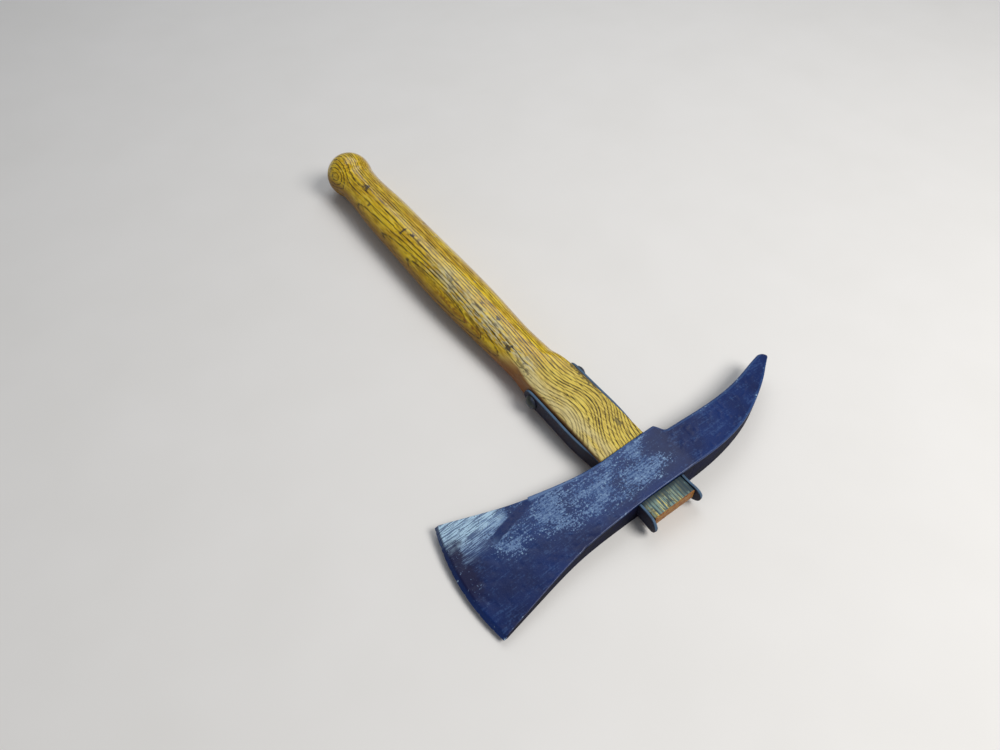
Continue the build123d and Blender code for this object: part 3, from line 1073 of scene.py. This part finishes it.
        # The tongue's end: its edge is broken, and rings close in to the middle.
        ends = [(self.tongue_end - 0.12, 0.985)] + [(self.tongue_end, part) for part in self.closing]
        tongue = [(at, half_x * part, half_z * part, 0.0, self.tongue_square)
                  for at, part in [(at, 1.0) for at in stations] + ends]
        return np.concatenate([grip, shoulder, tongue])

    def build(self) -> bpy.types.Object:
        """Carries the squared oval along the haft, steps in to the tongue and closes both ends.

        Returns:
            The finished piece.
        """
        y, wide, thick, middle, square = self.profile().T[..., None]
        # Directions from the middle to points spread evenly round the shoulder's box.
        a, b = self.box
        walk = (np.arange(self.rows) + 0.5) / self.rows * 4 * (a + b)
        corners = np.cumsum([0, a, 2 * b, 2 * a, 2 * b, a])
        angle = np.arctan2(np.interp(walk, corners, [b, b, -b, -b, b, b]),
                           np.interp(walk, corners, [0, a, a, -a, -a, 0]))
        cos, sin = np.cos(angle), np.sin(angle)
        reach = (np.abs(cos / wide) ** square + np.abs(sin / thick) ** square) ** (-1 / square)
        points = np.stack([middle + reach * cos, y + 0 * reach, reach * sin], axis=-1)
        front, top = reach * cos / wide, reach * sin / thick
        points = self.weather(points, cos, sin, y)
        depth = self.layer(points)
        girth = np.linalg.norm(np.roll(points, -1, axis=1) - np.roll(points, 1, axis=1), axis=-1)
        over = (np.roll(depth, -1, axis=1) - np.roll(depth, 1, axis=1)) / np.maximum(girth, 0.01)
        along = np.gradient(depth, axis=0) / np.maximum(np.gradient(points[..., 1], axis=0), 0.2)
        pitch = np.clip(np.hypot(over, along), 0.3, 1.2)
        tips = np.array([[0.0, self.knob_y - self.knob_radius, 0.0], [0.0, self.tongue_end, 0.0]])
        skin = Skin()
        skin.tube(points, tips, {"layer": depth, "front": front, "top": top, "pitch": pitch},
                  {"layer": self.layer(tips), "front": 0.0, "top": 1.0, "pitch": 1.0})
        return skin.piece("haft_ash", AshVarnish().material(), 45.0)

    def weather(self, points: np.ndarray, cos: np.ndarray, sin: np.ndarray, y: np.ndarray) -> np.ndarray:
        """Sinks the soft wood between growth lines, dents it and breaks the tongue's low edge.

        Args:
            points: The smooth haft.
            cos: X part of each row's direction.
            sin: Z part of each row's direction.
            y: Stations.

        Returns:
            The weathered points.
        """
        depth = self.layer(points)
        ring = (depth / AshVarnish().ring_width) % 1.0
        sunk = 0.07 * smooth(ring, 0.25, 0.0) + 0.35 * self.grit.at(points, 34.0, (1.0, 1.6, 1.0))
        sunk = sunk + 0.25 * smooth(self.grit.at(points, 3.0, (1.0, 2.0, 1.0)), 0.8, 0.95)
        sunk = sunk * smooth(y, -372.6, -368.0) * smooth(y, -17.0, -20.0)
        points[..., 0] -= sunk * cos
        points[..., 2] -= sunk * sin
        low = -self.tongue_half[1] + self.tongue_break
        reach = 2.5 * self.tongue_break
        late = np.clip((y - self.tongue_end + reach) / reach, 0, 1)
        points[..., 1] -= late * np.clip(low - points[..., 2], 0, None)
        return points


# ---- straps and rivet ----------------------------------------------------------------

class Side(Enum):
    """Which edge of the haft a strap lies on."""

    FRONT = 1
    REAR = -1


@dataclass
class Strap:
    """Flat bar along one edge of the haft, let into the eye, with rounded ends."""

    side: Side
    thick: float = 2.2
    half_width: float = 6.5
    start: float = -89.5
    end: float = 32.0
    path: Knots = ((-92.0, 18.3), (-60.0, 18.3), (-40.0, 18.25), (-31.0, 17.5), (-22.0, 16.5),
                   (-14.0, 16.4), (10.0, 16.4), (20.0, 16.5), (27.0, 17.1), (33.0, 18.1))
    end_lift: float = 0.9
    lift_from: Span = (8.0, 28.0)
    end_gap: float = 0.06
    arc_length: float = 6.8
    shape: float = 5.0
    rows: int = 44

    def build(self) -> bpy.types.Object:
        """Carries a round-cornered bar along the path; half circles close its width at both ends.

        Returns:
            The finished piece.
        """
        tip = self.half_width * (1 - np.cos(np.linspace(0, np.pi / 2, 16)))
        straight = runs((self.start + self.arc_length, self.end - self.arc_length, 1.0))
        y = np.concatenate([self.start + self.end_gap + tip, straight, (self.end - self.end_gap - tip)[::-1]])
        inside = np.minimum(y - self.start, self.end - y)[:, None]
        short = np.clip(self.half_width - inside, 0, None)
        half, shape = np.sqrt(np.clip(self.half_width**2 - short**2, 0.01, None)), self.shape
        angle = 2 * np.pi * (np.arange(self.rows) + 0.5) / self.rows
        box = np.arctan2(np.sin(angle) * self.half_width * 0.7, np.cos(angle) * self.thick)
        cos, sin = np.cos(box), np.sin(box)
        thin = np.minimum(self.thick / 2, 0.35 * half + 0.35)
        reach = (np.abs(cos / thin) ** shape + np.abs(sin / half) ** shape) ** (-1 / shape)
        sway, height = reach * cos, reach * sin
        x = curve_through(self.path, y)[:, None]
        slope = np.gradient(x[:, 0], y)[:, None]
        tilt = np.sqrt(1 + slope**2)
        lift = self.side.value * self.end_lift * smooth(y, *self.lift_from)[:, None]
        points = np.stack([self.side.value * (x + sway / tilt), y[:, None] - sway * slope / tilt,
                           height + lift], axis=-1)
        skin = Skin()
        skin.tube(points, points[[0, -1]].mean(axis=1), {"rim": smooth(np.abs(height) / half, 0.86, 1.0)},
                  {"rim": 1.0})
        return skin.piece(f"{self.side.name.lower()}_strap_bar", StrapPaint().material(), 40.0)


@dataclass
class Rivet:
    """Rivet through both straps and the haft, a hammered dome at each end."""

    y: float = -81.0
    shank: float = 2.4
    dome: float = 5.0
    height: float = 3.6
    seat: float = 19.4
    turns: int = 64
    grit: Grit = field(default_factory=lambda: Grit(5))

    def build(self) -> bpy.types.Object:
        """Turns half the outline about X, mirrors it, and flattens small facets into the domes.

        Returns:
            The finished piece.
        """
        swing = np.linspace(0, np.pi / 2, 22)[:-1]
        dome_x, dome_r = self.seat + self.height * np.sin(swing), self.dome * np.cos(swing)
        x = np.concatenate([[0.0, self.seat - 0.5, self.seat - 0.05], dome_x])
        radius = np.concatenate([[self.shank, self.shank, self.dome - 0.25], dome_r])
        x = np.concatenate([-x[:0:-1], x])[:, None]
        radius = np.concatenate([radius[:0:-1], radius])[:, None]
        angle = 2 * np.pi * np.arange(self.turns) / self.turns
        points = np.stack([x + 0 * angle, self.y + radius * np.cos(angle), radius * np.sin(angle)], axis=-1)
        sunk = 1 - 0.05 * self.grit.at(points, 2.2)
        out = np.abs(points[..., 0]) - self.seat
        points[..., 0] = np.where(out > 0, np.sign(points[..., 0]) * (self.seat + out * sunk), points[..., 0])
        tip = self.seat + self.height * 0.97
        skin = Skin()
        skin.tube(points, np.array([[-tip, self.y, 0.0], [tip, self.y, 0.0]]), {}, {})
        return skin.piece("strap_rivet_domed", RivetSteel().material(), 50.0)


# ---- studio --------------------------------------------------------------------------

@dataclass(frozen=True)
class Softbox:
    """A square soft light: its place, what it points at, its width, its watts and its colour."""

    name: str
    at: Triple
    towards: Triple
    size: float
    power: float
    colour: Colour

    def hang(self) -> None:
        """Puts the light in the scene."""
        data = bpy.data.lights.new(self.name, "AREA")
        data.size, data.energy, data.color = self.size, self.power, self.colour
        lamp = link(self.name, data)
        lamp.location = self.at
        lamp.rotation_euler = (Vector(self.towards) - Vector(self.at)).to_track_quat("-Z", "Y").to_euler()


@dataclass(frozen=True)
class Studio:
    """Pale floor, soft lights and the camera."""

    camera_at: Triple = (0.20915, 0.31641, 0.38901)
    azimuth: float = 144.134
    elevation: float = 50.0
    focal: float = 27.04
    sensor: float = 36.0
    clip: Span = (0.01, 20.0)
    floor_half: float = 4.0
    floor_low: Colour = tone(226, 224, 220)
    floor_high: Colour = tone(232, 230, 227)
    sky: Colour = (0.9, 0.93, 1.0)
    sky_strength: float = 0.24
    lamps: tuple[Softbox, ...] = (
        Softbox("key", (-0.42, 0.82, 1.05), (0.0, 0.12, 0.0), 0.6, 13.5, (1.0, 0.98, 0.95)),
        Softbox("back", (-0.45, -0.55, 1.2), (0.0, 0.1, 0.0), 1.0, 5.5, (0.93, 0.96, 1.0)),
    )

    def floor(self) -> None:
        """Lays a pale floor under the axe."""
        half = self.floor_half
        mesh = bpy.data.meshes.new("floor")
        corners = [(-half, -half, 0), (half, -half, 0), (half, half, 0), (-half, half, 0)]
        mesh.from_pydata(corners, [], [(0, 1, 2, 3)])
        laid = link("floor", mesh)
        r = Recipe("floor")
        haze = r.grain(60.0, 2.0)
        mesh.materials.append(r.finish(r.mix(haze, self.floor_low, self.floor_high), 0.75, haze, 0.05))

    def build(self) -> None:
        """Sets the floor, the sky, the lights and the camera."""
        self.floor()
        scene = bpy.context.scene
        scene.view_settings.view_transform = "Standard"
        scene.world = bpy.data.worlds.new("studio")
        scene.world.use_nodes = True
        inputs = scene.world.node_tree.nodes["Background"].inputs
        inputs["Color"].default_value = (*self.sky, 1.0)
        inputs["Strength"].default_value = self.sky_strength
        for lamp in self.lamps:
            lamp.hang()
        data = bpy.data.cameras.new("camera")
        data.lens, data.sensor_width = self.focal, self.sensor
        data.clip_start, data.clip_end = self.clip
        scene.camera = link("camera", data)
        scene.camera.location = self.camera_at
        scene.camera.rotation_euler = (math.radians(90.0 - self.elevation), 0.0, math.radians(self.azimuth))


def main() -> None:
    """Builds the studio and every piece."""
    logging.basicConfig(level=logging.INFO, format="%(name)s: %(message)s")
    Studio().build()
    plan = (
        (AxeHead(), "axe_head", "head_paint"),
        (Haft(), "haft", "ash"),
        (Strap(Side.FRONT), "front_strap", "strap_paint"),
        (Strap(Side.REAR), "rear_strap", "strap_paint"),
        (Rivet(), "strap_rivet", "rivet_steel"),
    )
    for maker, node, slot in plan:
        piece = maker.build()
        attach(piece, BODY)
        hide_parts(node)
        LOG.info("%s stands for %s: %d faces", piece.name, node, len(piece.data.polygons))


if __name__ == "__main__":
    main()
